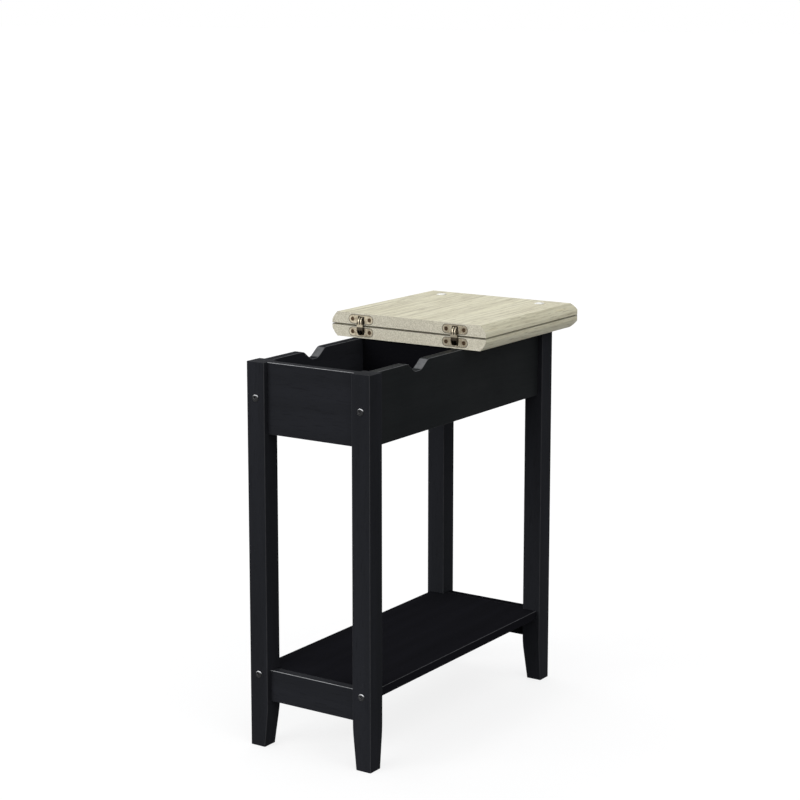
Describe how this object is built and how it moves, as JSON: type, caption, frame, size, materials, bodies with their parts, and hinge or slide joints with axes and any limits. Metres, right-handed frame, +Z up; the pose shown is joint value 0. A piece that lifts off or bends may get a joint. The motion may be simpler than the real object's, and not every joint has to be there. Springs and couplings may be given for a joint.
{
  "type": "flip top end table",
  "caption": "Narrow end table: black tapered-leg frame with a lower shelf and a storage compartment under a wood-grain top whose front leaf flips back on concealed hinges.",
  "frame": {"origin": "on the floor, in the middle of the part's box as it stands open", "axes": "+Z up, +Y to the back where the fixed leaf is, +X to the right seen from the front"},
  "size_m": [0.284, 0.5534, 0.6315],
  "materials": {
    "black_paint": "satin black paint on board",
    "top_laminate": "matt whitewashed grain laminate",
    "beech": "raw",
    "antique_brass": "dull antique",
    "steel_pin": "ground",
    "black_bolt": "blackened",
    "zinc_steel": "zinc plated",
    "white_felt": "soft",
    "white_plastic": "gloss",
    "black_rubber": "matt",
    "black_plastic": "fine texture"
  },
  "bodies": {
    "frame": {"apron_back": "black_paint", "apron_dowels": "beech", "apron_front": "black_paint", "compartment_floor": "black_paint", "cord_gland": "black_rubber", "cord_grommet": "black_rubber", "divider": "black_paint", "divider_dowels": "beech", "hinge_fixed_screws": "antique_brass", "hinge_left_fixed_cup": "antique_brass", "hinge_left_fixed_pivot": "steel_pin", "hinge_right_fixed_cup": "antique_brass", "hinge_right_fixed_pivot": "steel_pin", "leg_back_left": "black_paint", "leg_back_right": "black_paint", "leg_front_left": "black_paint", "leg_front_right": "black_paint", "outlet_inserts": "black_plastic", "rail_barrel_nuts": "zinc_steel", "rail_bolts": "black_bolt", "rail_dowels": "beech", "shelf": "black_paint", "shelf_barrel_nuts": "zinc_steel", "shelf_bolts": "black_bolt", "side_rail_left": "black_paint", "side_rail_right": "black_paint", "station_faceplate": "black_plastic", "station_housing": "black_plastic", "station_screws": "zinc_steel", "stretcher_back": "black_paint", "stretcher_dowels": "beech", "stretcher_front": "black_paint", "top_bracket_screws": "zinc_steel", "top_brackets": "zinc_steel", "top_fixed_leaf": "top_laminate", "usb_insert": "white_plastic", "usb_shells": "zinc_steel"},
    "flip_leaf": {"top_flip_leaf": "top_laminate", "rest_pads": "white_felt", "hinge_leaf_screws": "antique_brass", "hinge_left_leaf_cup": "antique_brass", "hinge_left_leaf_pivot": "steel_pin", "hinge_right_leaf_cup": "antique_brass", "hinge_right_leaf_pivot": "steel_pin"},
    "left_fixed_links": {"hinge_left_fixed_links": "antique_brass", "hinge_left_centre_pin": "steel_pin"},
    "left_leaf_links": {"hinge_left_leaf_links": "antique_brass"},
    "right_fixed_links": {"hinge_right_fixed_links": "antique_brass", "hinge_right_centre_pin": "steel_pin"},
    "right_leaf_links": {"hinge_right_leaf_links": "antique_brass"}
  },
  "joints": [
    {"name": "leaf_fold", "type": "hinge", "parent": "frame", "child": "flip_leaf", "pos_m": [0, -0.0133, 0.6105], "axis": [1, 0, 0], "range_deg": [0, 179.62]},
    {"name": "left_fixed_link_swing", "type": "hinge", "parent": "frame", "child": "left_fixed_links", "pos_m": [-0.087, -0.0077, 0.6049], "axis": [1, 0, 0], "range_deg": [0, 90]},
    {"name": "left_leaf_link_swing", "type": "hinge", "parent": "flip_leaf", "child": "left_leaf_links", "pos_m": [-0.087, -0.0077, 0.6161], "axis": [1, 0, 0], "range_deg": [-90, 0]},
    {"name": "right_fixed_link_swing", "type": "hinge", "parent": "frame", "child": "right_fixed_links", "pos_m": [0.087, -0.0077, 0.6049], "axis": [1, 0, 0], "range_deg": [0, 90]},
    {"name": "right_leaf_link_swing", "type": "hinge", "parent": "flip_leaf", "child": "right_leaf_links", "pos_m": [0.087, -0.0077, 0.6161], "axis": [1, 0, 0], "range_deg": [-90, 0]}
  ],
  "couplings": [
    {"joint": "left_fixed_link_swing", "follows": "leaf_fold", "ratio": 0.5},
    {"joint": "left_leaf_link_swing", "follows": "leaf_fold", "ratio": -0.5},
    {"joint": "right_fixed_link_swing", "follows": "leaf_fold", "ratio": 0.5},
    {"joint": "right_leaf_link_swing", "follows": "leaf_fold", "ratio": -0.5}
  ]
}
